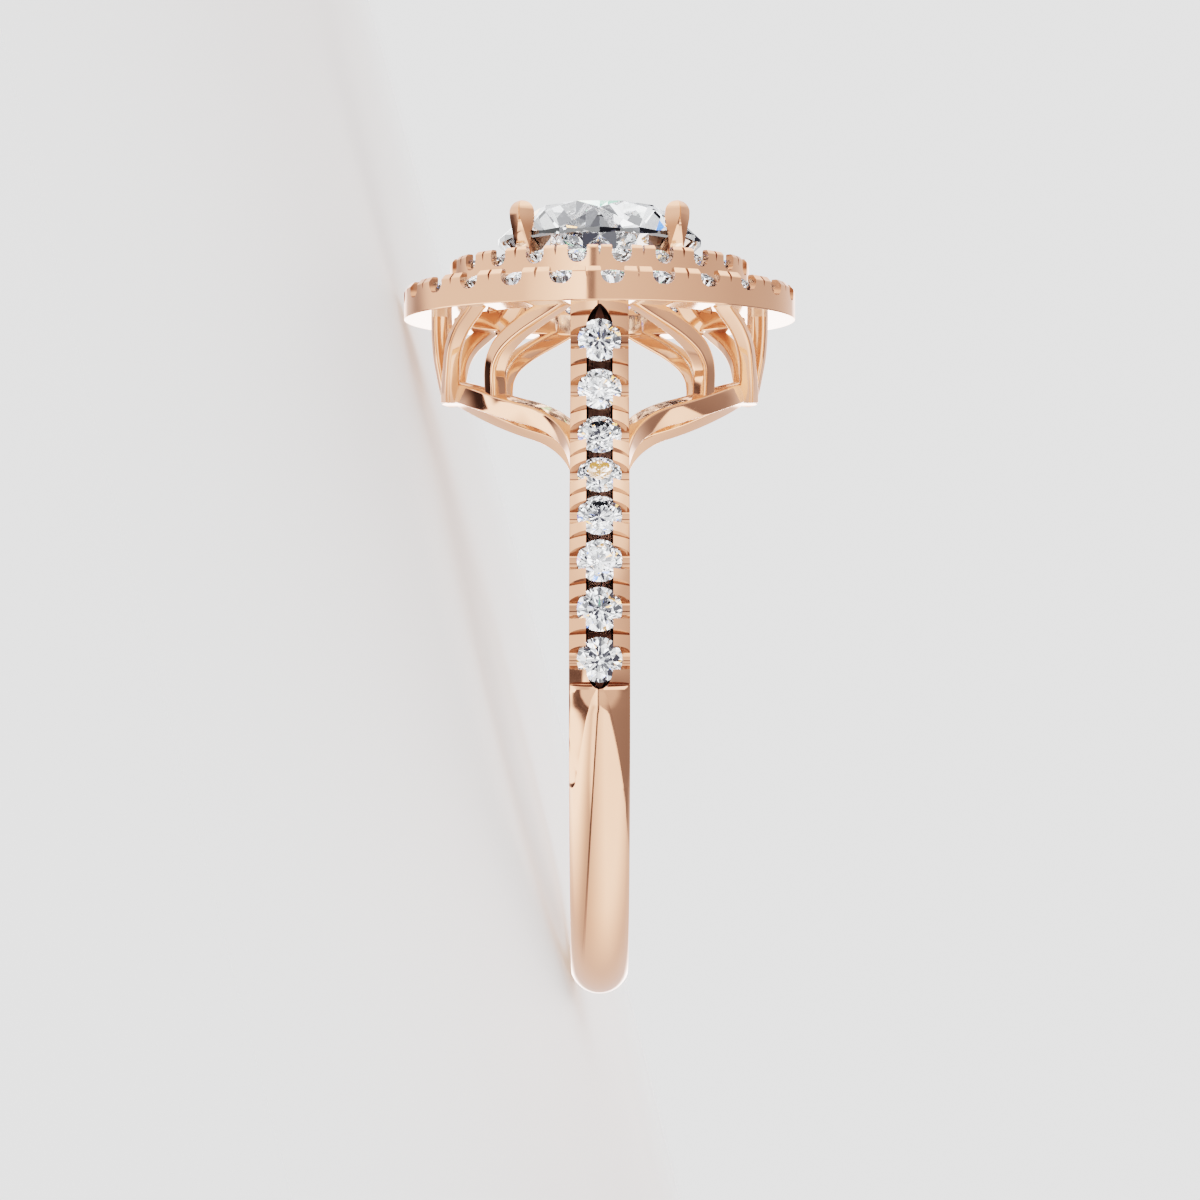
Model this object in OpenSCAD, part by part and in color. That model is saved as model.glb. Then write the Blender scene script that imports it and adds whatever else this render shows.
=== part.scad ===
// Round halo ring: a cathedral shank set with small stones, an open gallery under the head,
// two stepped halo rings and one round brilliant held by four claws. Millimetres.
// It is drawn upright, finger hole along Y and head up, and then laid on its side.

/* [Finger hole and shank] */
// Diameter of the finger hole, about US size 7
hole_d = 17.2; // [16.6:0.2:17.8]
// Thickness of the shank at its crest
shank_t = 1.6; // [1.5:0.05:1.7]
// Width of the shank along the finger
shank_w = 1.75; // [1.7:0.05:1.9]
// How far the domed outside falls at the shank's two edges
dome_drop = 0.6; // [0.5:0.05:0.65]
// How far the stone-set face lies under the dome's crest
pave_sink = 0.05; // [0.04:0.01:0.08]

/* [Shoulders] */
// Height of the head's underside above the finger hole's middle
head_z = 11.23; // [11.1:0.05:11.5]
// Half width over the shoulders where they meet the head
shoulder_x = 6.15; // [6.1:0.01:6.16]
// Thickness of a shoulder
shoulder_t = 1.5; // [1.4:0.05:1.5]
// Stones in each shoulder
shoulder_stones = 8; // [6:1:8]
// Distance between two stones along the shoulder
stone_pitch = 1.487; // [1.47:0.005:1.5]
// Angle of the lowest stone above the finger hole's middle
first_stone_a = 3.5; // [3:0.5:4]
// Width of the channel under the stones
channel_w = 0.81; // [0.7:0.05:0.9]
// Depth of the channel
channel_depth = 0.7; // [0.5:0.05:0.75]
// Width of the cut beside each stone
side_cut_w = 0.63; // [0.55:0.02:0.7]
// Depth of the cut beside each stone
side_cut_depth = 0.48; // [0.4:0.02:0.5]

/* [Gallery] */
// Radius of the gallery rail seen from above
rail_r = 4.7; // [4.6:0.05:4.8]
// Width of the rail seen from above
rail_w = 0.55; // [0.5:0.05:0.6]
// Thickness of the rail
rail_t = 0.65; // [0.6:0.05:0.7]
// Radius of the curve that leads from the shank into the rail
flare_r = 3; // [2.8:0.1:3.2]
// Thickness of the arch bars beside the shoulders
arch_bar_d = 0.62; // [0.55:0.02:0.66]
// Thickness of the bars at the gallery's sides
side_bar_d = 0.5; // [0.45:0.02:0.54]

/* [Outer halo] */
// Outer radius of the outer halo
outer_r = 6.25; // [6.2:0.01:6.3]
// Inner radius of the outer halo
outer_in_r = 4.65; // [4.6:0.01:4.7]
// Height of the outer halo
outer_h = 1.04; // [1:0.02:1.1]
// Number of stones in the outer halo
outer_stones = 25; // [23:1:26]

/* [Inner halo] */
// Outer radius of the inner halo
inner_r = 4.8; // [4.76:0.01:4.85]
// Inner radius of the inner halo
inner_in_r = 3.3; // [3.25:0.01:3.35]
// Height of the inner halo's top above the finger hole's middle
inner_top_z = 13.1; // [13.05:0.05:13.2]
// Height of the inner halo
inner_h = 1.05; // [1.05:0.01:1.1]
// Number of stones in the inner halo
inner_stones = 22; // [20:1:23]

/* [Centre stone and claws] */
// Diameter of the centre stone
stone_d = 6.5; // [6.4:0.05:6.6]
// Height of its girdle above the finger hole's middle
girdle_z = 13.74; // [13.7:0.02:13.8]
// Thickness of its girdle
girdle_t = 0.2; // [0.16:0.02:0.24]
// Table size as a share of the diameter
table_share = 0.57; // [0.54:0.01:0.6]
// Crown angle
crown_a = 36; // [34:0.5:37]
// Pavilion angle
pavilion_a = 40.9; // [40:0.1:41.5]
// Diameter of a claw
claw_d = 0.75; // [0.7:0.01:0.8]
// Distance of a claw's middle from the stone's axis
claw_r = 3.41; // [3.4:0.01:3.45]
// Height of the claws' tips
claw_top_z = 14.76; // [14.7:0.02:14.8]
// Clearance between the stone and the metal
stone_gap = 0.03; // [0.02:0.01:0.05]

/* [Hidden] */
$fn = 96;
rose = [0.87, 0.69, 0.57];
clear_stone = [0.86, 0.89, 0.92, 0.5];

hole_r = hole_d / 2;
crest_r = hole_r + shank_t;            // crest of the dome
face_r = crest_r - pave_sink;          // stone-set face
edge_r = crest_r - dome_drop;          // foot of the dome at the shank's edge
half_w = shank_w / 2;
dome_r = (half_w * half_w + dome_drop * dome_drop) / (2 * dome_drop);

// Shoulder: an arc that leaves the face circle tangentially and stands upright at the head.
step = face_r - shoulder_x;
arc_x = (head_z * head_z - step * step) / (2 * step);
arc_r = arc_x - shoulder_x;
leave_a = atan2(head_z, arc_x);        // where the arc leaves the face circle
leave_s = face_r * leave_a * PI / 180; // the same as a length along the face

// Where the flat stone-set face fades into the dome.
fade_a = first_stone_a - 4.9;          // tip of the fade
fade_end_a = fade_a - 16.7;            // its lower end

// The same lean as a table gives it: from the shank's lower edge to the halo's rim.
lean_a = atan2(outer_r - half_w, head_z + edge_r);

// Position along the shoulder's face: s in mm from the middle height, [x, z, angle of the outward normal].
function on_face(s) = s < leave_s
    ? let (a = s / face_r * 180 / PI) [face_r * cos(a), face_r * sin(a), a]
    : let (b = leave_a - (s - leave_s) / arc_r * 180 / PI)
        [arc_x - arc_r * cos(b), head_z - arc_r * sin(b), b];
first_s = face_r * first_stone_a * PI / 180;
last_s = first_s + (shoulder_stones - 1) * stone_pitch;

// Where the star facets' tips and the lower halves' tips lie, as shares of the stone's radius.
star_share = 0.755;
low_share = 0.22;

// Bars of the gallery, seen in one quarter: [x, y, z] of each bend, upper end inside the halo.
arch_path = [[3.14, 3.2, 8.45], [3.22, 3.2, 9.5], [3.58, 2.94, 10.14], [4.18, 2.28, 10.72], [4.85, 1.25, 11.45]];
slant_path = [[0.75, 4.7, 8.75], [1.84, 4.65, 9.46], [2.55, 4.53, 10.17], [3.2, 4.27, 10.72], [4.1, 3.75, 11.45]];
side_path = [[0.25, 4.72, 8.82], [0.62, 4.94, 9.5], [0.95, 5.03, 10.1], [1.15, 5.07, 10.7], [1.3, 5.06, 11.45]];

// A flat ring sector in its own plane, under 140 degrees wide.
module sector(a0, a1, r = 40)
    polygon([[0, 0], r * [cos(a0), sin(a0)], r * [cos((a0 + a1) / 2), sin((a0 + a1) / 2)], r * [cos(a1), sin(a1)]]);

// Stands a flat drawing up, its y becoming height, and gives it a width along the finger.
module standing(w)
    rotate([90, 0, 0]) linear_extrude(height = w, center = true) children();

module both_sides() {
    children();
    mirror([1, 0, 0]) children();
}

module quarters() {
    both_sides() {
        children();
        mirror([0, 1, 0]) children();
    }
}

// Everything inside the face, sunk by d, on one side and up to height top.
module face_outline(d, top) {
    intersection() {
        circle(r = face_r - d);
        sector(fade_end_a - 4, leave_a + 3);
    }
    difference() {
        polygon([[0, 0], [arc_x, head_z], [arc_x, top], [0, top]]);
        translate([arc_x, head_z]) circle(r = arc_r + d);
        translate([arc_x - arc_r - d, head_z]) square([20, 5]);
    }
}

// Flat drawing of one stone-set half of the shank with its shoulder.
module shoulder_outline() {
    a = fade_a;
    p0 = face_r * [cos(a), sin(a)];
    p1 = (face_r - 0.22) * [cos(a - 8.9), sin(a - 8.9)];
    p2 = (edge_r - 0.02) * [cos(fade_end_a), sin(fade_end_a)];
    difference() {
        face_outline(0, head_z + 0.25);
        circle(r = hole_r);
        // hollow between the shoulder and the finger hole
        difference() {
            polygon([[0, 0], [arc_x, head_z], [arc_x, 20], [-1, 20], [-1, 0]]);
            translate([arc_x, head_z]) circle(r = arc_r + shoulder_t);
        }
        // the face sinks under the dome
        polygon([p0, p1, p2, 1.4 * p2, 1.4 * p1, 1.2 * p0]);
        // open under the end of the fade
        sector(fade_end_a - 60, fade_end_a);
        for (k = [0 : shoulder_stones - 1]) {
            p = on_face(first_s + k * stone_pitch);
            translate([p[0], p[1]]) rotate(p[2]) side_cut();
        }
    }
}

// Cut beside a stone, with slanted lower corners, outward along +x.
module side_cut() {
    w = side_cut_w / 2;
    d = side_cut_depth;
    polygon([[0.6, w], [-d + 0.2, w], [-d, w - 0.18], [-d, -w + 0.18], [-d + 0.2, -w], [0.6, -w]]);
}

// The domed lower shank.
module lower_shank() {
    rotate([90, 0, 0])
        rotate([0, 0, 180 - fade_a])
            rotate_extrude(angle = 180 + 2 * fade_a)
                intersection() {
                    translate([hole_r, -half_w]) square([shank_t + 1, shank_w]);
                    union() {
                        translate([crest_r - dome_r, 0]) circle(r = dome_r);
                        translate([hole_r, -half_w]) square([edge_r - hole_r, shank_w]);
                    }
                }
}

module channel() {
    standing(channel_w) difference() {
        intersection() {
            polygon([[5, -0.35], [20, -0.35], [20, 11], [2, 11]]);
            sector(first_stone_a - 4, 70);
        }
        face_outline(channel_depth, 12);
    }
}

module shank() {
    difference() {
        union() {
            lower_shank();
            both_sides() standing(shank_w) shoulder_outline();
        }
        both_sides() channel();
    }
}

// Plan of the gallery rail grown by g: a circle that flares into the two sides of the shank.
module rail_plan(g) {
    fy = half_w + flare_r - 0.03;
    fx = sqrt(pow(rail_r + flare_r, 2) - pow(fy, 2));
    circle(r = rail_r + g);
    both_sides() difference() {
        polygon([[0, 0], [fx, -fy], [fx - 0.1, 0], [fx, fy]]);
        for (m = [-1, 1]) translate([fx, m * fy]) circle(r = flare_r - g);
    }
}

module rail_opening() {
    intersection() {
        rail_plan(-rail_w);
        square([8.8, 12], center = true);
    }
    both_sides() translate([4.4, 0]) circle(r = 1.05);
}

module rail() {
    intersection() {
        standing(12) difference() {
            circle(r = hole_r + rail_t);
            circle(r = hole_r);
        }
        translate([0, 0, 4]) linear_extrude(height = 6) difference() {
            rail_plan(0);
            rail_opening();
        }
    }
}

// A round bar through the given points.
module bar(path, d) {
    for (i = [0 : len(path) - 2]) {
        a = path[i];
        v = path[i + 1] - a;
        translate(a)
            rotate([0, acos(v[2] / norm(v)), atan2(v[1], v[0])])
                cylinder(d = d, h = norm(v));
        if (i > 0) translate(a) sphere(d = d + 0.012);
    }
}

module gallery() {
    rail();
    quarters() {
        bar(arch_path, arch_bar_d);
        bar(slant_path, side_bar_d);
        bar(side_path, side_bar_d);
    }
}

// A ring with a stone channel on top and a cut in each wall beside every stone.
module set_ring(r_in, r_out, z0, h, count, start_a, cut_w, cut_depth) {
    wall = (r_out - r_in) * 0.24;
    translate([0, 0, z0]) difference() {
        rotate_extrude() polygon([
            [r_in, 0], [r_out, 0], [r_out, h - 0.14], [r_out - 0.14, h],
            [r_out - wall, h], [r_out - wall, h - cut_depth - 0.1],
            [r_in + wall, h - cut_depth - 0.1], [r_in + wall, h], [r_in, h]]);
        for (k = [0 : count - 1]) rotate([0, 0, start_a + 360 * k / count])
            translate([r_in - 0.3, 0, h])
                rotate([90, 0, 90])
                    linear_extrude(height = r_out - r_in + 0.6)
                        polygon([[cut_w / 2, 0.5], [cut_w / 2, -cut_depth + 0.2], [cut_w / 2 - 0.18, -cut_depth],
                            [-cut_w / 2 + 0.18, -cut_depth], [-cut_w / 2, -cut_depth + 0.2], [-cut_w / 2, 0.5]]);
    }
}

module halos() {
    set_ring(outer_in_r, outer_r, head_z, outer_h, outer_stones, 90, 0.68, 0.53);
    set_ring(inner_in_r, inner_r, inner_top_z - inner_h, inner_h, inner_stones, 90, 0.6, 0.5);
}

module claws() {
    foot = [[4.85, 0, head_z + 0.25], [4.5, 0, 11.66], [3.95, 0, 12.2], [claw_r + 0.12, 0, 12.75], [claw_r, 0, 13.2]];
    for (q = [45 : 90 : 315]) rotate([0, 0, q]) {
        bar(foot, claw_d);
        translate([claw_r, 0, 13.1]) cylinder(d = claw_d, h = claw_top_z - claw_d / 2 - 13.1);
        translate([claw_r, 0, claw_top_z - claw_d / 2]) sphere(d = claw_d);
        translate([claw_r, 0, 13.2]) sphere(d = claw_d + 0.012);
    }
}

// Widest round outline of the stone, grown by g, for its seat.
module stone_round(g) {
    r = stone_d / 2 + g;
    t = girdle_t / 2 + g;
    table = stone_d * table_share / 2 + g;
    star = star_share * stone_d / 2 + g;
    low = low_share * stone_d / 2 + g;
    translate([0, 0, girdle_z]) rotate_extrude() polygon([
        [0, -t - r * tan(pavilion_a)], [low, -t - (r - low * cos(22.5)) * tan(pavilion_a)], [r, -t], [r, t],
        [star, t + (r - star * cos(22.5)) * tan(crown_a)], [table, t + (r - table) * tan(crown_a)],
        [0, t + (r - table) * tan(crown_a)]]);
}

module ring_body() color(rose) laid() difference() {
    union() {
        shank();
        gallery();
        halos();
        claws();
    }
    stone_round(stone_gap);
}

// Height of the plane through three points, at x and y.
function plane_z(a, b, c, x, y) = let (n = cross(b - a, c - a)) a[2] - (n[0] * (x - a[0]) + n[1] * (y - a[1])) / n[2];
function at(r, a, z) = [r * cos(a), r * sin(a), z];

// Round brilliant of 57 flat facets: table, 8 stars, 8 kites and 16 halves above the girdle,
// 16 halves and 8 mains under it. The girdle's edges are scalloped where the halves meet it.
module brilliant() {
    r = stone_d / 2;
    t = girdle_t / 2;
    table = stone_d * table_share / 2;
    star = star_share * r;
    low = low_share * r;
    top = t + (r - table) * tan(crown_a);
    star_z = t + (r - star * cos(22.5)) * tan(crown_a);
    low_z = -t - (r - low * cos(22.5)) * tan(pavilion_a);
    up_z = plane_z(at(star, 22.5, star_z), at(r, 0, t), at(r, 22.5, t), r * cos(11.25), r * sin(11.25));
    down_z = plane_z(at(low, 22.5, low_z), at(r, 0, -t), at(r, 22.5, -t), r * cos(11.25), r * sin(11.25));
    points = concat(
        [for (k = [0 : 7]) at(table, 45 * k, top)],
        [for (k = [0 : 7]) at(star, 45 * k + 22.5, star_z)],
        [for (j = [0 : 31]) at(r, 11.25 * j, j % 2 == 0 ? t : up_z)],
        [for (j = [0 : 31]) at(r, 11.25 * j, j % 2 == 0 ? -t : down_z)],
        [for (k = [0 : 7]) at(low, 45 * k + 22.5, low_z)],
        [[0, 0, -t - r * tan(pavilion_a)]]);
    S = 8; U = 16; L = 48; P = 80; C = 88;
    faces = concat(
        [[for (k = [7 : -1 : 0]) k]],
        [for (k = [0 : 7]) [k, (k + 1) % 8, S + k]],
        [for (k = [0 : 7]) [k, S + k, U + 4 * k, S + (k + 7) % 8]],
        [for (k = [0 : 7]) for (h = [0, 2]) [S + k, U + (4 * k + h + 2) % 32, U + 4 * k + h + 1, U + 4 * k + h]],
        [for (j = [0 : 31]) [U + j, U + (j + 1) % 32, L + (j + 1) % 32, L + j]],
        [for (k = [0 : 7]) for (h = [0, 2]) [P + k, L + 4 * k + h, L + 4 * k + h + 1, L + (4 * k + h + 2) % 32]],
        [for (k = [0 : 7]) [C, P + (k + 7) % 8, L + 4 * k, P + k]]);
    polyhedron(points, faces, convexity = 2);
}

module center_stone() color(clear_stone) laid() translate([0, 0, girdle_z]) rotate([0, 0, 22.5]) brilliant();

// Lays the upright ring on its side.
module laid() rotate([90 - lean_a, 0, 0]) children();

ring_body();
center_stone();
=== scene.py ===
import math
import random

import bpy
import numpy as np
from mathutils import Matrix, Vector


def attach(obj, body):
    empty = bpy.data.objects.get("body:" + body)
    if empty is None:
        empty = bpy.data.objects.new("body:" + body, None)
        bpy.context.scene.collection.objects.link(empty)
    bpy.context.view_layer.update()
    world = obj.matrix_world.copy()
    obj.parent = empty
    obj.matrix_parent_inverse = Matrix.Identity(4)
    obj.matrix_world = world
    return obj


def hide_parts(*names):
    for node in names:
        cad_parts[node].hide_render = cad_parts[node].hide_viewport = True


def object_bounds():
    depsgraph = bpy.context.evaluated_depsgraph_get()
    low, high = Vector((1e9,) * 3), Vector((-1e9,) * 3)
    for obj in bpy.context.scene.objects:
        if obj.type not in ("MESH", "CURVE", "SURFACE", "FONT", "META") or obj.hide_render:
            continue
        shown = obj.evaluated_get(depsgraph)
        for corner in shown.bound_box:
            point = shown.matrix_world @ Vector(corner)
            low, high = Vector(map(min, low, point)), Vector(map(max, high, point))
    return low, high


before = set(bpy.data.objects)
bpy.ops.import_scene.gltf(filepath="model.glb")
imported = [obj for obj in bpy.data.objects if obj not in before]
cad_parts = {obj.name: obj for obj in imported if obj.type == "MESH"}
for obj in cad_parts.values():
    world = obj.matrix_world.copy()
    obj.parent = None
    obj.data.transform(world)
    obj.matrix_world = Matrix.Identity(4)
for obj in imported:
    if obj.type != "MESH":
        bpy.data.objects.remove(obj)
CAD_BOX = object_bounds()
random.seed(11)

# ---------------------------------------------------------------------------
# The ring is drawn upright in millimetres, finger hole along Y and head up, as
# the frame's source draws it, and then laid on its side in metres.
HOLE_R, CREST_R, FACE_R, EDGE_R = 8.6, 10.2, 10.15, 9.6
HALF_W, DOME_R = 0.875, 0.938
HEAD_Z, SHOULDER_X, SHOULDER_T = 11.23, 6.15, 1.5
FIRST_A, PITCH, COUNT = 3.5, 1.487, 8
STEP = FACE_R - SHOULDER_X
ARC_X = (HEAD_Z ** 2 - STEP ** 2) / (2 * STEP)
ARC_R = ARC_X - SHOULDER_X
LEAVE_A = math.atan2(HEAD_Z, ARC_X)
LEAVE_S = FACE_R * LEAVE_A
END_S = LEAVE_S + ARC_R * LEAVE_A
FADE_A = math.radians(-1.4)
LEAN = math.atan2(6.25 - HALF_W, HEAD_Z + EDGE_R)
LAY = Matrix.Rotation(math.pi / 2 - LEAN, 4, "X") @ Matrix.Diagonal((0.001, 0.001, 0.001, 1))
GIRDLE_Z, STONE_R = 13.74, 3.25


def row(p):
    """A point of the upright drawing, in the row frame."""
    return LAY @ Vector(p)


# ------------------------------------------------------------------- materials
def node(tree, kind, **values):
    n = tree.nodes.new(kind)
    for k, v in values.items():
        if hasattr(n, k):
            setattr(n, k, v)
        else:
            n.inputs[k.replace("_", " ")].default_value = v
    return n


def principled(name):
    m = bpy.data.materials.new(name)
    m.use_nodes = True
    return m, m.node_tree, m.node_tree.nodes["Principled BSDF"]


def rose_gold(name, low, high, dull, shade=None):
    m, t, b = principled(name)
    b.inputs["Metallic"].default_value = 1.0
    place = node(t, "ShaderNodeTexCoord")
    # a slight change of tone over the surface, as in a polished casting
    tone = node(t, "ShaderNodeTexNoise", Scale=260.0, Detail=3.0, Roughness=0.5)
    t.links.new(place.outputs["Object"], tone.inputs["Vector"])
    ramp = node(t, "ShaderNodeValToRGB")
    ramp.color_ramp.elements[0].position, ramp.color_ramp.elements[1].position = 0.35, 0.65
    ramp.color_ramp.elements[0].color = low
    ramp.color_ramp.elements[1].color = high
    t.links.new(tone.outputs["Fac"], ramp.inputs["Fac"])
    colour = ramp.outputs["Color"]
    if shade:
        # painted shade: darker below the tips, standing in for the dark reflections on a claw's side faces; the height
        # is measured along the upright ring
        rise = t.nodes.new("ShaderNodeVectorMath")
        rise.operation = "DOT_PRODUCT"
        t.links.new(place.outputs["Object"], rise.inputs[0])
        rise.inputs[1].default_value = (Matrix.Rotation(math.pi / 2 - LEAN, 3, "X") @ Vector((0, 0, 1))) * 1000
        part = t.nodes.new("ShaderNodeMapRange")
        part.interpolation_type = "SMOOTHSTEP"
        t.links.new(rise.outputs["Value"], part.inputs["Value"])
        for k, v in zip(("From Min", "From Max", "To Min", "To Max"), (13.85, 14.4, 1.0, 0.0)):
            part.inputs[k].default_value = v
        darker = t.nodes.new("ShaderNodeMix")
        darker.data_type, darker.blend_type = "RGBA", "MULTIPLY"
        t.links.new(part.outputs["Result"], darker.inputs[0])
        t.links.new(colour, darker.inputs[6])
        darker.inputs[7].default_value = shade
        colour = darker.outputs[2]
    t.links.new(colour, b.inputs["Base Color"])
    # polishing lines and a soft cloud in the gloss
    fine = node(t, "ShaderNodeTexNoise", Scale=2600.0, Detail=4.0, Roughness=0.6)
    t.links.new(place.outputs["Object"], fine.inputs["Vector"])
    gloss = node(t, "ShaderNodeMapRange")
    gloss.inputs["To Min"].default_value = dull
    gloss.inputs["To Max"].default_value = dull + 0.06
    t.links.new(fine.outputs["Fac"], gloss.inputs["Value"])
    # metal that is only seen in other metal is softer
    path = t.nodes.new("ShaderNodeLightPath")
    soft = t.nodes.new("ShaderNodeMix")
    soft.data_type = "FLOAT"
    t.links.new(path.outputs["Is Glossy Ray"], soft.inputs[0])
    t.links.new(gloss.outputs["Result"], soft.inputs[2])
    soft.inputs[3].default_value = 0.42
    t.links.new(soft.outputs[0], b.inputs["Roughness"])
    return m


def clear_stone(name="clear_stone"):
    m, t, b = principled(name)
    b.inputs["Base Color"].default_value = (1, 1, 1, 1)
    b.inputs["Transmission Weight"].default_value = 1.0
    b.inputs["Roughness"].default_value = 0.0
    b.inputs["IOR"].default_value = 2.42
    # painted coloured glints: faint blue, warm and green tints in small cells stand in for the coloured fire of
    # dispersion
    place = node(t, "ShaderNodeTexCoord")
    cells = node(t, "ShaderNodeTexVoronoi", Scale=2600.0)
    t.links.new(place.outputs["Object"], cells.inputs["Vector"])
    ramp = node(t, "ShaderNodeValToRGB")
    ramp.color_ramp.interpolation = "CONSTANT"
    e = ramp.color_ramp.elements
    e[0].position, e[0].color = 0.0, (0.98, 0.985, 1.0, 1)
    e[1].position, e[1].color = 0.62, (0.93, 0.96, 1.0, 1)
    for pos, col in ((0.72, (1.0, 0.99, 0.98, 1)), (0.84, (1.0, 0.97, 0.93, 1)), (0.90, (0.96, 1.0, 0.98, 1)), (0.95, (1.0, 1.0, 1.0, 1))):
        x = e.new(pos)
        x.color = col
    split = node(t, "ShaderNodeSeparateColor")
    t.links.new(cells.outputs["Color"], split.inputs["Color"])
    t.links.new(split.outputs["Red"], ramp.inputs["Fac"])
    t.links.new(ramp.outputs["Color"], b.inputs["Base Color"])
    return m


GOLD = rose_gold("rose_gold", (0.92, 0.505, 0.342, 1), (0.94, 0.535, 0.366, 1), 0.04)
# painted shade: a dark brown copy of the gold for the channel and the stone seats, darkening the hollows where shade
# falls
RECESS_SHADE = rose_gold("rose_gold_painted_recess_shade", (0.07, 0.035, 0.025, 1), (0.10, 0.05, 0.035, 1), 0.28)
# painted shade: a darker copy of the gold for the steep walls of the side cuts, the slits, the halo notches, slits and
# seats and the halo's stone channel; it is also a little less glossy
SHADE = rose_gold("rose_gold_shaded", (0.44, 0.215, 0.135, 1), (0.50, 0.245, 0.155, 1), 0.12)
# painted shade: the gold darkened below the claws' tips, for their side faces
FLANK_SHADE = rose_gold("rose_gold_claw_painted_shade", (0.92, 0.505, 0.342, 1), (0.94, 0.535, 0.366, 1), 0.05, (0.60, 0.53, 0.48, 1))
STONE = clear_stone()


# ------------------------------------------------------------------ mesh tools
def make(name, verts, faces):
    me = bpy.data.meshes.new(name)
    me.from_pydata([tuple(float(c) for c in v) for v in verts], [], faces)
    me.update()
    ob = bpy.data.objects.new(name, me)
    bpy.context.scene.collection.objects.link(ob)
    return ob


def volume(verts, faces):
    v = np.asarray(verts, float)
    total = 0.0
    for f in faces:
        a = v[f[0]]
        for i in range(1, len(f) - 1):
            total += float(np.dot(a, np.cross(v[f[i]], v[f[i + 1]])))
    return total / 6


def solid(name, verts, faces):
    """A closed mesh whose faces look outward."""
    if volume(verts, faces) < 0:
        faces = [tuple(reversed(f)) for f in faces]
    return make(name, verts, faces)


def loft_data(rings, wrap=False):
    rings = np.asarray(rings, float)
    n, k, _ = rings.shape
    faces = []
    for i in range(n if wrap else n - 1):
        j = (i + 1) % n
        for a in range(k):
            b = (a + 1) % k
            faces.append((i * k + a, i * k + b, j * k + b, j * k + a))
    if not wrap:
        faces.append(tuple(reversed(range(k))))
        faces.append(tuple((n - 1) * k + a for a in range(k)))
    return rings.reshape(-1, 3), faces


def loft(name, rings, wrap=False):
    return solid(name, *loft_data(rings, wrap))


def joined(name, parts):
    """One object from several separate closed shapes, each given as (verts, faces)."""
    verts, faces, at = [], [], 0
    for v, f in parts:
        if volume(v, f) < 0:
            f = [tuple(reversed(x)) for x in f]
        verts.extend(v)
        faces.extend(tuple(i + at for i in x) for x in f)
        at += len(v)
    return make(name, verts, faces)


def lathe(name, profile, segments):
    """A closed profile of (r, z) turned round the Z axis."""
    rings = []
    for i in range(segments):
        a = 2 * math.pi * i / segments
        rings.append([(r * math.cos(a), r * math.sin(a), z) for r, z in profile])
    return loft(name, rings, wrap=True)


def all_slots(ob):
    while len(ob.data.materials) < 4:
        ob.data.materials.append((GOLD, RECESS_SHADE, SHADE, FLANK_SHADE)[len(ob.data.materials)])


def look(ob, index, test=None):
    """Gives faces another look: all of them, or those that pass the test."""
    all_slots(ob)
    for f in ob.data.polygons:
        if test is None or test(f):
            f.material_index = index
    return ob


# painted shade: gives faces the dark recess material
def deep(ob, test=None):
    return look(ob, 1, test)


# painted shade: gives faces the darker shaded material
def shaded(ob, test=None):
    return look(ob, 2, test)


def boolean(a, b, how):
    all_slots(a)
    all_slots(b)
    before = len(a.data.vertices), len(a.data.polygons)
    m = a.modifiers.new("cut", "BOOLEAN")
    m.operation, m.object, m.solver, m.material_mode = how, b, "MANIFOLD", "INDEX"
    me = bpy.data.meshes.new_from_object(a.evaluated_get(bpy.context.evaluated_depsgraph_get()))
    a.modifiers.clear()
    old, a.data = a.data, me
    bpy.data.meshes.remove(old)
    after = len(me.vertices), len(me.polygons)
    if after == before or not after[1]:
        raise RuntimeError(f"{how} of {b.name} into {a.name} changed nothing: {before} {after}")
    tool = b.data
    bpy.data.objects.remove(b)
    bpy.data.meshes.remove(tool)
    return a


def smooth_path(points, count):
    """Points spaced evenly along a smooth curve through the given ones."""
    p = [np.array(q, float) for q in points]
    p = [2 * p[0] - p[1]] + p + [2 * p[-1] - p[-2]]
    fine = []
    for i in range(1, len(p) - 2):
        for t in np.linspace(0, 1, 24, endpoint=False):
            a, b, c, d = p[i - 1:i + 3]
            fine.append(0.5 * (2 * b + (c - a) * t + (2 * a - 5 * b + 4 * c - d) * t * t + (3 * b - a - 3 * c + d) * t ** 3))
    fine.append(p[-2])
    fine = np.array(fine)
    run = np.concatenate([[0], np.cumsum(np.linalg.norm(np.diff(fine, axis=0), axis=1))])
    want = np.linspace(0, run[-1], count)
    return np.stack([np.interp(want, run, fine[:, k]) for k in range(3)], axis=1)


def unit(v):
    return v / max(np.linalg.norm(v), 1e-12)


def sweep_data(points, section, outward):
    """Carries a closed section of (out, side) along the points. outward(p) says which way the section's first axis looks."""
    pts = np.asarray(points, float)
    rings = []
    for i, p in enumerate(pts):
        t = unit(pts[min(i + 1, len(pts) - 1)] - pts[max(i - 1, 0)])
        o = outward(p)
        o = unit(o - t * np.dot(o, t))
        s = np.cross(t, o)
        sec = section(i / (len(pts) - 1)) if callable(section) else section
        rings.append([p + o * a + s * b for a, b in sec])
    return loft_data(rings)


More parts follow.
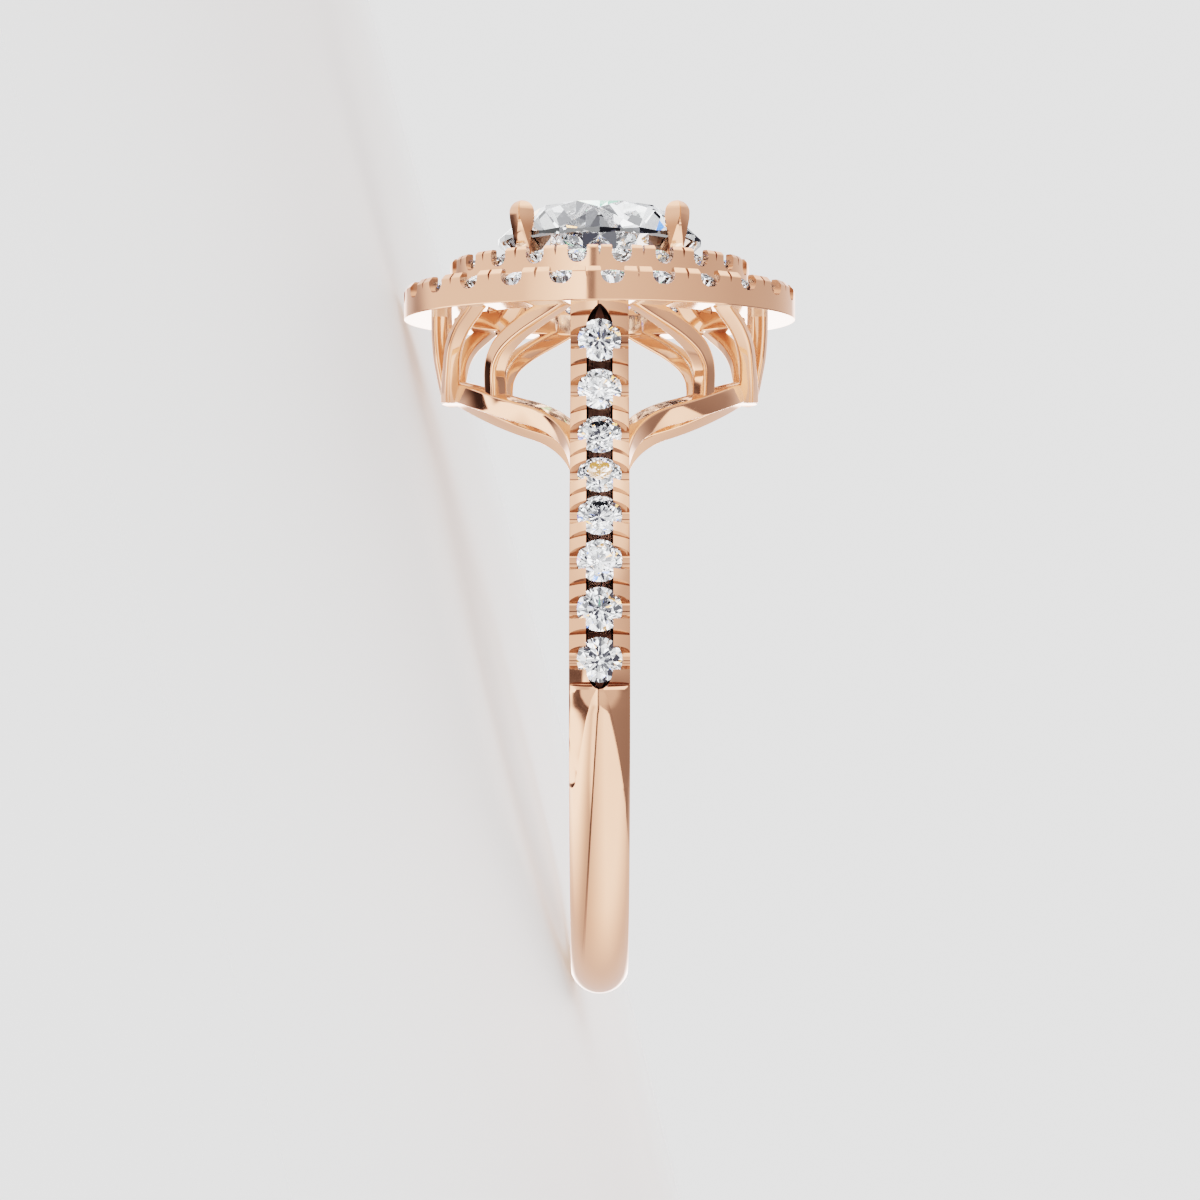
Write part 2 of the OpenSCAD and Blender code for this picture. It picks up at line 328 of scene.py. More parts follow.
def rounded(corners, radii, steps=3):
    """A closed outline with its corners rounded. corners run round once."""
    out, n = [], len(corners)
    for i in range(n):
        p = np.array(corners[i], float)
        a = np.array(corners[i - 1], float) - p
        b = np.array(corners[(i + 1) % n], float) - p
        r = radii[i] if isinstance(radii, (list, tuple)) else radii
        la, lb = np.linalg.norm(a), np.linalg.norm(b)
        if r <= 0:
            out.append(tuple(p))
            continue
        half = math.acos(max(-1, min(1, float(np.dot(a, b) / la / lb)))) / 2
        reach = min(r / math.tan(half), 0.48 * la, 0.48 * lb)
        p0, p1 = p + a / la * reach, p + b / lb * reach
        for k in range(steps + 1):
            t = k / steps
            out.append(tuple((1 - t) ** 2 * p0 + 2 * t * (1 - t) * p + t * t * p1))
    return out


def mirrored(data, axis):
    v, f = data
    v = np.array(v, float)
    v[:, axis] *= -1
    return v, f


def quarters(data):
    a = [data, mirrored(data, 0)]
    return a + [mirrored(d, 1) for d in a]


# --------------------------------------------------------------- shank surface
def on_face(s):
    """Point, outward normal and direction along the stone-set face, s mm from the middle height."""
    if s < LEAVE_S:
        a = s / FACE_R
        p = (FACE_R * math.cos(a), FACE_R * math.sin(a))
    elif s < END_S:
        a = LEAVE_A - (s - LEAVE_S) / ARC_R
        p = (ARC_X - ARC_R * math.cos(a), HEAD_Z - ARC_R * math.sin(a))
    else:
        a = 0.0
        p = (SHOULDER_X, HEAD_Z + s - END_S)
    n = (math.cos(a), math.sin(a))
    return np.array([p[0], 0, p[1]]), np.array([n[0], 0, n[1]]), np.array([-n[1], 0, n[0]])


def face_point(s, w, depth, side=1):
    p, n, _ = on_face(s)
    q = p - n * depth
    return (side * q[0], w, q[2])


def dome_depth(w):
    return FACE_R - CREST_R + DOME_R - math.sqrt(max(DOME_R ** 2 - w * w, 0.0))


CREASE = ([0, 1.5, 4.7, 11.1, 15.9, 16.9], [0.10, 0.24, 0.38, 0.575, 0.69, 0.76])
FACE_K = 0.45     # how fast the stone-set face falls from its middle


def shank_ring(s, side):
    """Closed outline across the shank at s, as (w, depth) and then as points."""
    below = math.degrees(FADE_A - s / FACE_R)
    if below <= 0:
        crease = 0.10
        depth = lambda w: FACE_K * w * w
    else:
        crease = float(np.interp(below, *CREASE))
        rise = 0.05 * min(below / 3.0, 1.0)

        def dome(w):
            return dome_depth(w) + 0.05 - rise

        level = dome(crease)
        rim = FACE_K * HALF_W ** 2 + (dome(HALF_W) - FACE_K * HALF_W ** 2) * min(below / 16.3, 1.0)

        def depth(w):
            if w <= crease or below > 16.6:
                return dome(w)
            t = (w - crease) / (HALF_W - crease)
            return level + (rim - level) * (0.92 * t + 0.08 * t ** 3)
    edge = HALF_W - 0.05
    ws = [crease * k / 6 for k in range(6)] + [crease - 0.012, crease, crease + 0.012]
    ws += [crease + 0.012 + (edge - crease - 0.012) * (1 - (1 - k / 10) ** 1.5) for k in range(1, 11)]
    top = [(w, depth(w)) for w in ws]
    e = depth(edge)
    k = (e - depth(edge - 0.01)) / 0.01
    d1 = e + max(0.012, 0.024 * k)
    d2 = d1 + max(0.018, 0.022 * k)
    d3 = d2 + max(0.03, 0.018 * k)
    top += [(HALF_W - 0.028, d1), (HALF_W - 0.01, d2), (HALF_W, d3)]
    inner = FACE_R - HOLE_R
    t = min(max((s - LEAVE_S + 0.4) / 0.8, 0.0), 1.0)
    inner = inner + (SHOULDER_T - inner) * t * t * (3 - 2 * t)
    low = [(HALF_W, inner - 0.12), (HALF_W - 0.02, inner - 0.055), (HALF_W - 0.06, inner - 0.018),
           (HALF_W - 0.14, inner - 0.003), (HALF_W - 0.3, inner), (0.25, inner)]
    half = top + low
    loop = half + [(-w, d) for w, d in reversed(half[1:])]
    return [face_point(s, w, d, side) for w, d in loop]


def shank():
    bottom = -FACE_R * math.pi / 2
    marks = [bottom, -FACE_R * math.radians(18.6), -FACE_R * math.radians(17.1), FADE_A * FACE_R, END_S + 0.25]
    steps = [0.20, 0.05, 0.10, 0.12]
    stations = [bottom]
    for a, b, d in zip(marks[:-1], marks[1:], steps):
        n = max(2, int(round((b - a) / d)))
        stations += [a + (b - a) * k / n for k in range(1, n + 1)]
    right = [shank_ring(s, 1) for s in stations]
    left = [shank_ring(s, -1) for s in reversed(stations[1:])]
    return loft("metal", left + right)


CUT_S = [FACE_R * math.radians(FIRST_A) + k * PITCH for k in range(COUNT)]


def along(s, w, depth, t, side):
    """A point near the face at s: w across, depth inward, t along the face's direction there."""
    p, n, d = on_face(s)
    q = p - n * depth + d * t
    return (side * q[0], w, q[2])


def side_cuts():
    """A cut across the shank beside each stone: a flat floor with a fine line, and sides that open towards the stone."""
    parts = []
    for side in (1, -1):
        for s in CUT_S:
            rings = []
            for w in np.linspace(-1.1, 1.1, 23):
                v = min(abs(w), 0.875)
                e = math.sqrt(max(1 - max((v - 0.3) / 0.575, 0.0) ** 2, 0.0))
                top, bottom, face = 0.232 + 0.175 * e, 0.25 + 0.055 * e, FACE_K * v * v
                up = [(top, -0.6), (top, face - 0.03), (top - 0.01, face + 0.01), (0.212, 0.405), (0.196, 0.437), (0.165, 0.457), (0.12, 0.463)]
                low = [(-0.09, 0.463), (-0.13, 0.457), (-0.16, 0.44), (-0.182, 0.415), (-bottom + 0.01, face + 0.01), (-bottom, face - 0.03), (-bottom, -0.6)]
                ring = up + [(-0.012, 0.463), (-0.024, 0.505), (-0.036, 0.463)] + low
                rings.append([along(s, w, d, t, side) for t, d in ring])
            parts.append(loft_data(rings))
    return joined("side_cuts", parts)


def slits():
    """The cut between two prongs: a shallow crescent, widest at the channel and closing towards the edge."""
    parts = []
    places = [(s + PITCH / 2 - 0.01, 0.155, 0.0) for s in CUT_S[:-1]]
    places += [(CUT_S[-1] + PITCH / 2 - 0.02, 0.14, 0.03), (CUT_S[0] - PITCH / 2 + 0.02, 0.075, 0.055)]
    for side in (1, -1):
        for s, above, below in places:
            for y in (1, -1):
                rings = []
                for w in (0.2, 0.35, 0.45, 0.55, 0.65, 0.73, 0.79, 0.84, 0.875, 0.95):
                    f = min(max((w - 0.33) / 0.545, 0), 1)
                    e = math.sqrt(max(1 - f * f, 0.0))
                    hi, lo, face = 0.014 + above * e, -0.014 - below * e, FACE_K * w * w
                    low = face + 0.03 + 0.10 * e
                    ring = [(hi, -0.4), (hi, face - 0.015), (0.011, low), (-0.011, low), (lo, face - 0.015), (lo, -0.4)]
                    rings.append([along(s, y * w, d, t, side) for t, d in ring])
                parts.append(loft_data(rings))
    return joined("slits", parts)


def channel():
    """The slot under the stones: rounded at its lower end, a pointed arch at its upper end."""
    s0 = FACE_R * math.radians(-1.3)
    s1 = FACE_R * math.radians(2.5)
    top = END_S - 0.07
    parts = []
    for side in (1, -1):
        rings = []
        stations = [s0 + (s1 - s0) * (1 - math.cos(a)) for a in np.linspace(0.12, math.pi / 2, 9)]
        stations += list(np.arange(s1 + 0.15, top - 0.75, 0.15))
        stations += [top - u for u in (0.7, 0.6, 0.5, 0.42, 0.34, 0.27, 0.2, 0.14, 0.08, 0.03)]
        for s in stations:
            if s < s1:
                h = 0.39 * math.sqrt(max(1 - ((s1 - s) / (s1 - s0)) ** 2, 0.0))
            elif s > top - 0.7:
                h = 0.39 * math.sqrt(max(1 - ((s - top + 0.7) / 0.7) ** 2, 0.0)) ** 1.0
                h = 0.39 * (1 - ((s - top + 0.7) / 0.7) ** 2.2)
            else:
                h = 0.39
            h = max(h, 0.02)
            deep = 0.72
            ring = [(h, -0.6), (h, deep - 0.16), (h * 0.86, deep - 0.05), (h * 0.5, deep),
                    (-h * 0.5, deep), (-h * 0.86, deep - 0.05), (-h, deep - 0.16), (-h, -0.6)]
            rings.append([along(s, w, d, 0, side) for w, d in ring])
        parts.append(loft_data(rings))
    return joined("channel", parts)


# -------------------------------------------------------------- stones' places
def brilliant(dia, table_share=0.57, crown=34.0, pavilion=40.9, girdle=0.03, star_share=0.755, low_share=0.22):
    """A round brilliant of 57 facets about its girdle's middle, as (verts, faces)."""
    r, t = dia / 2, girdle * dia / 2
    table, star, low = r * table_share, star_share * r, low_share * r
    tc, tp = math.tan(math.radians(crown)), math.tan(math.radians(pavilion))
    top = t + (r - table) * tc
    c22, c11, s11 = math.cos(math.radians(22.5)), math.cos(math.radians(11.25)), math.sin(math.radians(11.25))
    star_z = t + (r - star * c22) * tc
    low_z = -t - (r - low * c22) * tp

    def at(q, deg, z):
        return np.array([q * math.cos(math.radians(deg)), q * math.sin(math.radians(deg)), z])

    def plane_z(a, b, c, x, y):
        n = np.cross(b - a, c - a)
        return a[2] - (n[0] * (x - a[0]) + n[1] * (y - a[1])) / n[2]

    up = plane_z(at(star, 22.5, star_z), at(r, 0, t), at(r, 22.5, t), r * c11, r * s11)
    down = plane_z(at(low, 22.5, low_z), at(r, 0, -t), at(r, 22.5, -t), r * c11, r * s11)
    v = [at(table, 45 * k, top) for k in range(8)]
    v += [at(star, 45 * k + 22.5, star_z) for k in range(8)]
    v += [at(r, 11.25 * j, t if j % 2 == 0 else up) for j in range(32)]
    v += [at(r, 11.25 * j, -t if j % 2 == 0 else down) for j in range(32)]
    v += [at(low, 45 * k + 22.5, low_z) for k in range(8)]
    v += [np.array([0, 0, -t - r * tp])]
    S, U, L, P, C = 8, 16, 48, 80, 88
    f = [tuple(range(8))]
    f += [(k, S + k, (k + 1) % 8) for k in range(8)]
    f += [(k, S + (k + 7) % 8, U + 4 * k, S + k) for k in range(8)]
    for k in range(8):
        for h in (0, 2):
            f.append((S + k, U + 4 * k + h, U + 4 * k + h + 1, U + (4 * k + h + 2) % 32))
    f += [(U + j, L + j, L + (j + 1) % 32, U + (j + 1) % 32) for j in range(32)]
    for k in range(8):
        for h in (0, 2):
            f.append((P + k, L + (4 * k + h + 2) % 32, L + 4 * k + h + 1, L + 4 * k + h))
    f += [(C, P + k, L + 4 * k, P + (k + 7) % 8) for k in range(8)]
    return np.array(v), f


def round_stone(dia, grow):
    """The same stone turned smooth and grown a little, for its seat."""
    r, t = dia / 2 + grow, 0.015 * dia + grow
    tc, tp = math.tan(math.radians(34.0)), math.tan(math.radians(40.9))
    table = 0.57 * dia / 2 + grow
    prof = [(0.02, -t - r * tp), (r, -t), (r, t), (table, t + (r - table) * tc), (0.02, t + (r - table) * tc)]
    n = 20
    rings = [[(q * math.cos(2 * math.pi * i / n), q * math.sin(2 * math.pi * i / n), z) for i in range(n)] for q, z in prof]
    return loft_data(rings)


def placed(data, origin, up, spin=0.0, toward=(0, 1, 0)):
    """Sets a shape with its Z axis along up."""
    v, f = data
    z = unit(np.array(up, float))
    x = unit(np.array(toward, float) - z * np.dot(toward, z))
    y = np.cross(z, x)
    c, s = math.cos(spin), math.sin(spin)
    m = np.stack([x * c + y * s, -x * s + y * c, z], axis=1)
    return np.asarray(v) @ m.T + np.array(origin, float), f


SHOULDER_DIA, OUTER_DIA, INNER_DIA = 1.30, 1.20, 1.00
OUTER_N, INNER_N = 25, 22


def shoulder_places():
    out = []
    for side in (1, -1):
        for s in CUT_S:
            p, n, _ = on_face(s)
            q = p - n * 0.27
            out.append(((side * q[0], 0, q[2]), (side * n[0], 0, n[2]), random.uniform(-0.25, 0.25)))
    return out


def halo_places(r, z, n, spread):
    out = []
    for k in range(n):
        a = math.radians(90 + 360 * k / n)
        lean = 0.03
        out.append(((r * math.cos(a), r * math.sin(a), z), (lean * math.cos(a), lean * math.sin(a), 1),
                    random.uniform(-spread, spread)))
    return out


SHOULDER_AT = shoulder_places()
OUTER_AT = halo_places(5.45, 12.0, OUTER_N, 0.4)
INNER_AT = halo_places(4.06, 12.86, INNER_N, 0.4)


# ------------------------------------------------------------------ the metal
def halo_ring(name, r_in, r_out, z0, h, bevel, wall_out, wall_in, bed):
    top = z0 + h
    prof = [(r_in + 0.05, z0), (r_out - 0.03, z0), (r_out - 0.008, z0 + 0.01), (r_out, z0 + 0.035),
            (r_out, top - bevel - 0.02), (r_out - 0.012, top - bevel + 0.012),
            (r_out - bevel + 0.02, top - 0.008), (r_out - bevel - 0.02, top),
            (r_out - wall_out + 0.02, top), (r_out - wall_out, top - 0.02), (r_out - wall_out, top - bed),
            (r_in + wall_in, top - bed), (r_in + wall_in, top - 0.02), (r_in + wall_in - 0.02, top),
            (r_in + 0.07, top), (r_in + 0.02, top - 0.02), (r_in, top - 0.07), (r_in, z0 + 0.05), (r_in + 0.015, z0 + 0.015)]
    ring = lathe(name, prof, 400)
    # painted shade on the floor of the stone channel between the halo's walls
    return shaded(ring, lambda f: r_in + wall_in - 0.01 < math.hypot(f.center.x, f.center.y) < r_out - wall_out + 0.01 and z0 + 0.01 < f.center.z < top - 0.03)


def halo_cuts(r_in, r_out, top, n, width, depth_out, depth_in, slit, slit_depth):
    notches, cuts = [], []
    for k in range(n):
        a = math.radians(90 + 360 * k / n)
        m = math.radians(90 + 360 * (k + 0.5) / n)
        for store, angle, kind in ((notches, a, 0), (cuts, m, 1)):
            o = np.array([math.cos(angle), math.sin(angle), 0])
            t = np.array([-math.sin(angle), math.cos(angle), 0])
            rings = []
            for r in (r_in - 0.25, r_out + 0.25):
                d = depth_in + (depth_out - depth_in) * (r - r_in) / (r_out - r_in)
                if kind:
                    d = slit_depth
                    ring = [(slit, 0.4), (slit, 0), (slit * 0.8, -d * 0.5), (0.004, -d), (-0.004, -d), (-slit * 0.8, -d * 0.5), (-slit, 0), (-slit, 0.4)]
                else:
                    w = width / 2
                    q = min(0.30, w * 0.95)
                    ring = [(w + 0.02, 0.4), (w + 0.02, 0.0), (w, -0.06), (w, -d + q)]
                    ring += [(w - q + q * math.cos(b), -d + q - q * math.sin(b)) for b in np.linspace(0, math.pi / 2, 10)[1:]]
                    ring += [(-x, z) for x, z in reversed(ring)]
                rings.append([o * r + t * x + np.array([0, 0, top + z]) for x, z in ring])
            store.append(loft_data(rings))
    return joined("notches", notches), joined("halo_slits", cuts)


def squared(w, r, groove, steps=10):
    """A square bar's section, its edges rounded and one of them grooved along its middle."""
    a = w / 2
    points = rounded([(a, -a), (a, a), (-a, a), (-a, -a)], r, steps)
    k = groove * (steps + 1) + steps // 2
    p = np.array(points[k])
    n = unit(p)
    t = np.array([-n[1], n[0]])
    ahead = np.array(points[k + 1]) - p
    t = t if np.dot(t, ahead) > 0 else -t
    return points[:k] + [tuple(p - t * 0.017), tuple(p - n * 0.035), tuple(p + t * 0.017)] + points[k + 1:]


def from_axis(p):
    a = math.atan2(p[1], p[0]) + math.radians(9)
    return np.array([math.cos(a), math.sin(a), 0.0])


def turned_in(p):
    a = math.radians(-17)
    return np.array([math.cos(a), math.sin(a), 0.0])


def bars():
    arch = [(3.03, 3.2, 8.5), (3.10, 3.22, 9.0), (3.18, 3.22, 9.34), (3.31, 3.17, 9.68), (3.54, 2.99, 10.06),
            (3.88, 2.67, 10.40), (4.21, 2.26, 10.71), (4.53, 1.79, 11.0), (4.80, 1.33, 11.28), (4.98, 1.0, 11.5)]
    slant = [(0.15, 4.78, 8.40), (0.75, 4.76, 8.75), (1.25, 4.72, 9.03), (1.84, 4.65, 9.46), (2.55, 4.53, 10.17), (3.2, 4.27, 10.72),
             (4.02, 3.83, 11.23), (4.35, 3.62, 11.45)]
    side = [(0.2, 4.72, 8.5), (0.32, 4.84, 8.95), (0.6, 4.94, 9.5), (0.92, 5.02, 10.05), (1.12, 5.06, 10.68),
            (1.27, 5.06, 11.25), (1.3, 5.06, 11.45)]
    parts = []
    for path, w, r, edge, way in ((arch, 0.565, 0.14, 0, from_axis), (slant, 0.49, 0.14, 1, turned_in), (side, 0.47, 0.13, 1, turned_in)):
        parts.append(quarters(sweep_data(smooth_path(path, 44), squared(w, r, edge), way)))
    return parts


def rail_path():
    pts = [(7.5, 0.57), (7.1, 0.57), (6.9, 0.57)]
    fx, fy, fr = math.sqrt(7.7 ** 2 - 3.845 ** 2), 3.845, 3.275
    a0, a1 = math.radians(270), math.radians(180) + math.atan2(fy, fx)
    pts += [(fx + fr * math.cos(a), fy + fr * math.sin(a)) for a in np.linspace(a0, a1, 26)]
    b0 = math.atan2(fy, fx)
    pts += [(4.425 * math.cos(b), 4.425 * math.sin(b)) for b in np.linspace(b0, math.pi / 2, 34)[1:]]
    return pts


def rail():
    pts = rail_path()
    pts = pts + [(-x, y) for x, y in reversed(pts[:-1])]
    mid = 8.925
    p = np.array([(x, y, math.sqrt(mid ** 2 - x * x)) for x, y in pts])
    sec = rounded([(0.325, -0.275), (0.325, 0.275), (-0.315, 0.275), (-0.315, -0.275)], [0.14, 0.10, 0.06, 0.06], 4)

    def out(q):
        return unit(np.array([q[0], 0.0, q[2]]))

    one = sweep_data(p, sec, out)
    return [one, mirrored(one, 1)]


def claws():
    """Four square claws with domed tips, rounded lower down, whose J-shaped feet start on the halo's inner wall."""
    half = 0.285
    foot = [(4.92, 0, 11.42), (4.62, 0, 11.5), (4.2, 0, 11.8), (3.80, 0, 12.25), (3.48, 0, 12.75), (3.34, 0, 13.2),
            (3.36, 0, 13.6), (3.395, 0, 14.0), (3.43, 0, 14.385)]
    spur = [(3.34, 0, 14.12), (3.26, 0, 13.75), (3.10, 0, 13.3), (3.10, 0, 12.9), (3.35, 0, 12.6), (3.7, 0, 12.4)]

    def corner(z):
        t = min(max((14.22 - z) / 1.07, 0.0), 1.0)
        return 0.02 + 0.30 * t

    def section(r):
        """A square with bulged sides; its corners are cut off by r, or finely grooved where they are sharp."""
        out = []
        groove = 0.02 * max(0.0, 1 - (r - 0.02) / 0.14)
        for k in range(4):
            c, s = math.cos(math.pi / 2 * k), math.sin(math.pi / 2 * k)
            side = [(half + 0.02 * (1 - (v / half) ** 2), v) for v in np.linspace(-half + r, half - r, 5)]
            m = half - r / 2 - groove
            for a, b in side + [(m, m)]:
                out.append((a * c - b * s, a * s + b * c))
        return out

    def carried(path, secs):
        rings = []
        for i, p in enumerate(path):
            t = unit(path[min(i + 1, len(path) - 1)] - path[max(i - 1, 0)])
            o = unit(np.array([t[2], 0, -t[0]]))
            rings.append([p + o * a + np.array([0, 1.0, 0]) * b for a, b in secs[i]])
        return rings

    parts = []
    path = smooth_path(foot, 46)
    rings = carried(path, [section(corner(p[2])) for p in path])
    end = path[-1]
    for b in np.linspace(0, math.pi / 2, 10)[1:]:
        k = max(math.cos(b), 0.03)
        rings.append([end + np.array([x * k, y * k, 0.375 * math.sin(b)]) for x, y in section(0.02)])
    small = smooth_path(spur, 20)
    wedge = carried(small, [rounded([(0.2, -0.25), (0.2, 0.25), (-0.2, 0.25), (-0.2, -0.25)], 0.06, 2)] * len(small))
    def spun(data, way):
        """Turns each ring of the claw a little about its own middle, so that its outer faces look more to the side."""
        c, s = math.cos(way * math.radians(12)), math.sin(way * math.radians(12))
        out = []
        for r in data:
            r = np.array(r)
            mid = r.mean(axis=0)
            d = r - mid
            out.append(mid + np.stack([d[:, 0] * c - d[:, 1] * s, d[:, 0] * s + d[:, 1] * c, d[:, 2]], axis=1))
        return out

    for q, way in ((45, 1), (135, -1), (225, 1), (315, -1)):
        c, s = math.cos(math.radians(q)), math.sin(math.radians(q))
        for r in (spun(rings, way), wedge):
            r = np.array(r)
            turned = r.copy()
            turned[..., 0] = r[..., 0] * c - r[..., 1] * s
            turned[..., 1] = r[..., 0] * s + r[..., 1] * c
            parts.append(loft_data(turned))
    return parts[0::2], parts[1::2]


def flank(f):
    """A side face of a claw, below its tip and beside the facet on its edge."""
    home = 45 + 90 * int(math.degrees(math.atan2(f.center.y, f.center.x)) % 360 // 90)
    way = 12 if home in (45, 225) else -12
    off = (math.degrees(math.atan2(f.normal.y, f.normal.x)) - home - way + 45) % 90 - 45
    return f.center.z > 13.2 and abs(f.normal.z) < 0.4 and abs(off) < 16


def centre_seat():
    r, t = STONE_R + 0.012, 0.112
    tc, tp = math.tan(math.radians(36)), math.tan(math.radians(40.9))
    table, low = 0.57 * 3.25 + 0.012, 0.22 * 3.25
    star = 0.755 * 3.25 + 0.012
    c22 = math.cos(math.radians(22.5))
    prof = [(0.02, -t - r * tp), (low, -t - (r - low * c22) * tp), (r, -t), (r, t), (star, t + (r - star * c22) * tc),
            (table, t + (r - table) * tc), (0.02, t + (r - table) * tc)]
    n = 96
    rings = [[(q * math.cos(2 * math.pi * i / n), q * math.sin(2 * math.pi * i / n), GIRDLE_Z + z) for i in range(n)] for q, z in prof]
    return loft("seat", rings)


def finger_hole():
    n, r = 256, HOLE_R + 0.003
    turn = [2 * math.pi * i / n for i in range(n)]
    return loft("hole", [[(r * math.cos(a), y, r * math.sin(a)) for a in turn] for y in (-7, 7)])


def steep(f):
    """A face of a side cut that stands across the cut's floor."""
    out = Vector((f.center.x, 0, f.center.z)).normalized()
    return abs(f.normal.dot(out)) < 0.72 and abs(f.normal.y) < 0.9


def metal():
    body = shank()
    # painted shade: the channel and the shoulder seats get the dark recess material; the walls of the side cuts, the
    # slits, the notches and the halo seats get the shaded one
    boolean(body, deep(channel()), "DIFFERENCE")
    boolean(body, shaded(side_cuts(), steep), "DIFFERENCE")
    boolean(body, shaded(slits()), "DIFFERENCE")
    boolean(body, deep(joined("shoulder_seats", [placed(round_stone(SHOULDER_DIA, 0.012), *a[:2]) for a in SHOULDER_AT])), "DIFFERENCE")
    outer = halo_ring("outer", 4.65, 6.25, HEAD_Z, 1.04, 0.16, 0.33, 0.33, 0.5)
    notches, thin = halo_cuts(4.65, 6.25, HEAD_Z + 1.04, OUTER_N, 0.70, 0.53, 0.36, 0.045, 0.34)
    boolean(outer, shaded(notches), "DIFFERENCE")
    boolean(outer, shaded(thin), "DIFFERENCE")
    boolean(outer, shaded(joined("outer_seats", [placed(round_stone(OUTER_DIA, 0.012), *a[:2]) for a in OUTER_AT])), "DIFFERENCE")
    inner = halo_ring("inner", 3.3, 4.78, 12.05, 1.05, 0.10, 0.27, 0.27, 0.46)
    notches, thin = halo_cuts(3.3, 4.78, 13.10, INNER_N, 0.60, 0.55, 0.50, 0.04, 0.32)
    boolean(inner, shaded(notches), "DIFFERENCE")
    boolean(inner, shaded(thin), "DIFFERENCE")
    boolean(inner, shaded(joined("inner_seats", [placed(round_stone(INNER_DIA, 0.012), *a[:2]) for a in INNER_AT])), "DIFFERENCE")
    boolean(body, outer, "UNION")
    boolean(body, inner, "UNION")
    for group in bars():
        group = joined("bars", group)
        if min(math.hypot(v.co.x, v.co.z) for v in group.data.vertices) < HOLE_R:
            boolean(group, finger_hole(), "DIFFERENCE")
        boolean(body, group, "UNION")
    for one in rail():
        boolean(body, joined("rail", [one]), "UNION")
    for group in claws():
        # painted shade: the claws' side faces get the claw material, darker below the tips
        boolean(body, look(joined("claws", group), 3, flank), "UNION")
    boolean(body, centre_seat(), "DIFFERENCE")
    return body


def into_row(ob, sharp):
    ob.data.transform(LAY)
    # rounded parts keep within the box of the frame's own facets
    for v in ob.data.vertices:
        v.co = [min(max(c, lo), hi) for c, lo, hi in zip(v.co, *CAD_BOX)]
    ob.data.update()
    ob.data.polygons.foreach_set("use_smooth", [sharp is not None] * len(ob.data.polygons))
    if sharp is not None:
        ob.data.set_sharp_from_angle(angle=math.radians(sharp))
        m = ob.modifiers.new("flat faces stay flat", "WEIGHTED_NORMAL")
        m.mode, m.weight, m.keep_sharp = "FACE_AREA", 50, True
        me = bpy.data.meshes.new_from_object(ob.evaluated_get(bpy.context.evaluated_depsgraph_get()))
        ob.modifiers.clear()
        ob.data = me
    ob.data.update()
    return ob


ring = into_row(metal(), 13)
ring.name = "polished_ring"
ring.visible_transmission = False     # the stones take their light from the studio, not from the metal behind them


def stones(name, data):
    ob = into_row(joined(name, data), None)
    ob.data.materials.append(STONE)
    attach(ob, "root")
    return ob


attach(ring, "root")
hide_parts("ring_body")

centre = stones("centre_brilliant", [placed(brilliant(6.5, crown=36.0, girdle=0.2 / 6.5), (0, 0, GIRDLE_Z), (0, 0, 1), math.radians(22.5), (1, 0, 0))])
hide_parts("center_stone")
stones("shoulder_stones", [placed(brilliant(SHOULDER_DIA), *a) for a in SHOULDER_AT])
stones("outer_halo_stones", [placed(brilliant(OUTER_DIA), *a) for a in OUTER_AT])
stones("inner_halo_stones", [placed(brilliant(INNER_DIA), *a) for a in INNER_AT])

# --------------------------------------------------------------- floor, lights
FLOOR_Z = CAD_BOX[0][2]


def math_node(t, op, a, b=None, clamp=False):
    n = t.nodes.new("ShaderNodeMath")
    n.operation, n.use_clamp = op, clamp
    for i, x in enumerate((a, b)):
        if x is None:
            continue
        if isinstance(x, (int, float)):
            n.inputs[i].default_value = x
        else:
            t.links.new(x, n.inputs[i])
    return n.outputs[0]


def ramp_up(t, x, lo, hi):
    """0 below lo, 1 above hi, smooth between; lo may be the larger one."""
    n = t.nodes.new("ShaderNodeMapRange")
    n.interpolation_type = "SMOOTHSTEP"
    t.links.new(x, n.inputs["Value"])
    flip = lo > hi
    n.inputs["From Min"].default_value, n.inputs["From Max"].default_value = (hi, lo) if flip else (lo, hi)
    n.inputs["To Min"].default_value, n.inputs["To Max"].default_value = (1.0, 0.0) if flip else (0.0, 1.0)
    return n.outputs["Result"]


def floor():
    """A pale floor that fades out round the ring, so that it has no hard horizon."""
    n = 96
    size = 0.4
    verts = [(0, 0, FLOOR_Z)]
    rings = (0.1, 0.25, 0.5, 1.0)
    for q in rings:
        for i in range(n):
            a = 2 * math.pi * i / n
            verts.append((size * q * math.cos(a), size * q * math.sin(a), FLOOR_Z))
    faces = [(0, 1 + i, 1 + (i + 1) % n) for i in range(n)]
    for j in range(len(rings) - 1):
        for i in range(n):
            a, b = 1 + j * n + i, 1 + j * n + (i + 1) % n
            faces.append((a, a + n, b + n, b))
    ob = make("floor", verts, faces)
    m, t, b = principled("pale_floor")
    b.inputs["Base Color"].default_value = (0.82, 0.82, 0.82, 1)
    b.inputs["Roughness"].default_value = 0.5
    b.inputs["Specular IOR Level"].default_value = 0.3
    place = node(t, "ShaderNodeTexCoord")
    far = t.nodes.new("ShaderNodeVectorMath")
    far.operation = "LENGTH"
    t.links.new(place.outputs["Object"], far.inputs[0])
    t.links.new(ramp_up(t, far.outputs["Value"], 0.085, 0.025), b.inputs["Alpha"])
    ob.data.materials.append(m)
    ob.visible_glossy = ob.visible_transmission = False
    return ob


floor()

BACKDROP = 1.565


